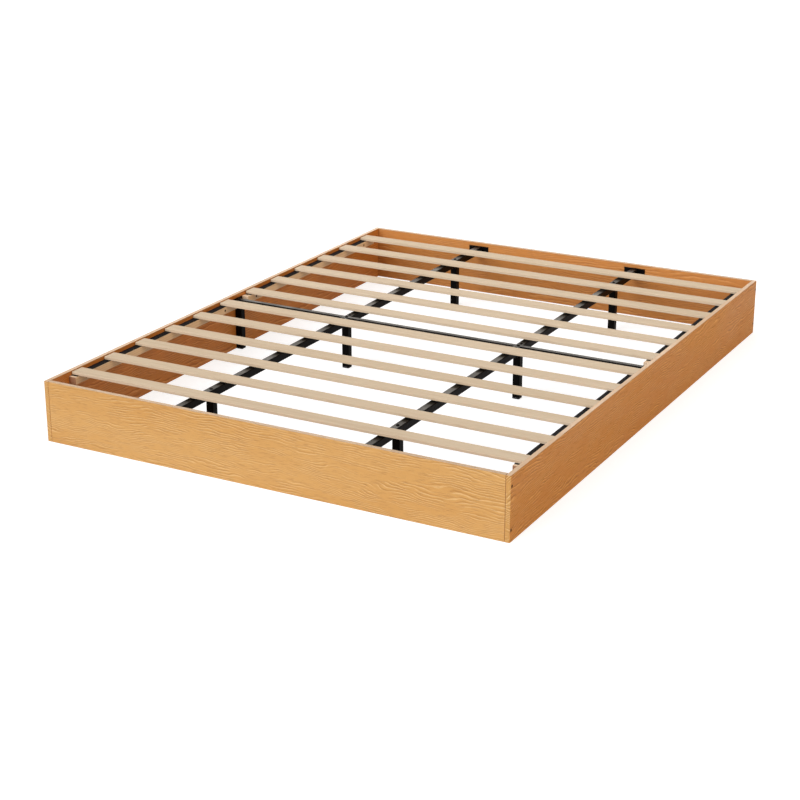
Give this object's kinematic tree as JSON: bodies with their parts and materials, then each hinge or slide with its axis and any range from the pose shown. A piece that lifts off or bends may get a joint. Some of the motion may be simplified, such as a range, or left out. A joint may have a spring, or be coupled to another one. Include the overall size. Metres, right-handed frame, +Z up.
{
  "type": "bed frame",
  "caption": "Low wooden platform bed frame: oak-look panels standing on the floor, pine slats on ledgers, and a black steel grid of beams, crossbar and legs under them.",
  "frame": {"origin": "on the floor under the middle of the frame", "axes": "+X from the left side panel to the right one, along the slats; +Y from the foot to the head; +Z up"},
  "size_m": [1.554, 2.056, 0.195],
  "materials": {
    "oak_laminate": "honey oak laminate with a brushed grain",
    "slat_pine": "plain sanded pine, unfinished",
    "ledger_pine": "plain sawn pine, unfinished",
    "webbing": "black woven webbing",
    "black_steel": "black powder coat, semi-gloss",
    "black_plastic": "moulded black plastic",
    "bolt_steel": "black plated bolt steel"
  },
  "bodies": {
    "frame": {"foot_panel": "oak_laminate", "head_panel": "oak_laminate", "left_side_panel": "oak_laminate", "right_side_panel": "oak_laminate", "left_foot_ledger": "ledger_pine", "left_head_ledger": "ledger_pine", "right_foot_ledger": "ledger_pine", "right_head_ledger": "ledger_pine", "left_foot_beam": "black_steel", "left_head_beam": "black_steel", "right_foot_beam": "black_steel", "right_head_beam": "black_steel", "crossbar": "black_steel", "left_foot_beam_bracket": "black_steel", "left_head_beam_bracket": "black_steel", "left_crossbar_bracket": "black_steel", "right_foot_beam_bracket": "black_steel", "right_head_beam_bracket": "black_steel", "right_crossbar_bracket": "black_steel", "left_foot_leg": "black_steel", "left_foot_leg_cap": "black_plastic", "left_middle_leg": "black_steel", "left_middle_leg_cap": "black_plastic", "left_head_leg": "black_steel", "left_head_leg_cap": "black_plastic", "left_side_leg": "black_steel", "left_side_leg_cap": "black_plastic", "right_foot_leg": "black_steel", "right_foot_leg_cap": "black_plastic", "right_middle_leg": "black_steel", "right_middle_leg_cap": "black_plastic", "right_head_leg": "black_steel", "right_head_leg_cap": "black_plastic", "right_side_leg": "black_steel", "right_side_leg_cap": "black_plastic", "foot_left_lower_bolt": "bolt_steel", "foot_left_upper_bolt": "bolt_steel", "foot_right_lower_bolt": "bolt_steel", "foot_right_upper_bolt": "bolt_steel", "head_left_lower_bolt": "bolt_steel", "head_left_upper_bolt": "bolt_steel", "head_right_lower_bolt": "bolt_steel", "head_right_upper_bolt": "bolt_steel"},
    "foot_slat_set": {"slat_01": "slat_pine", "slat_02": "slat_pine", "slat_03": "slat_pine", "slat_04": "slat_pine", "slat_05": "slat_pine", "slat_06": "slat_pine", "left_foot_strap": "webbing", "right_foot_strap": "webbing"},
    "head_slat_set": {"slat_07": "slat_pine", "slat_08": "slat_pine", "slat_09": "slat_pine", "slat_10": "slat_pine", "slat_11": "slat_pine", "slat_12": "slat_pine", "left_head_strap": "webbing", "right_head_strap": "webbing"}
  },
  "joints": [
    {"name": "foot_slat_set_lift", "type": "slide", "parent": "frame", "child": "foot_slat_set", "axis": [0, 0, 1], "range_m": [0, 0.25]},
    {"name": "head_slat_set_lift", "type": "slide", "parent": "frame", "child": "head_slat_set", "axis": [0, 0, 1], "range_m": [0, 0.25]}
  ]
}
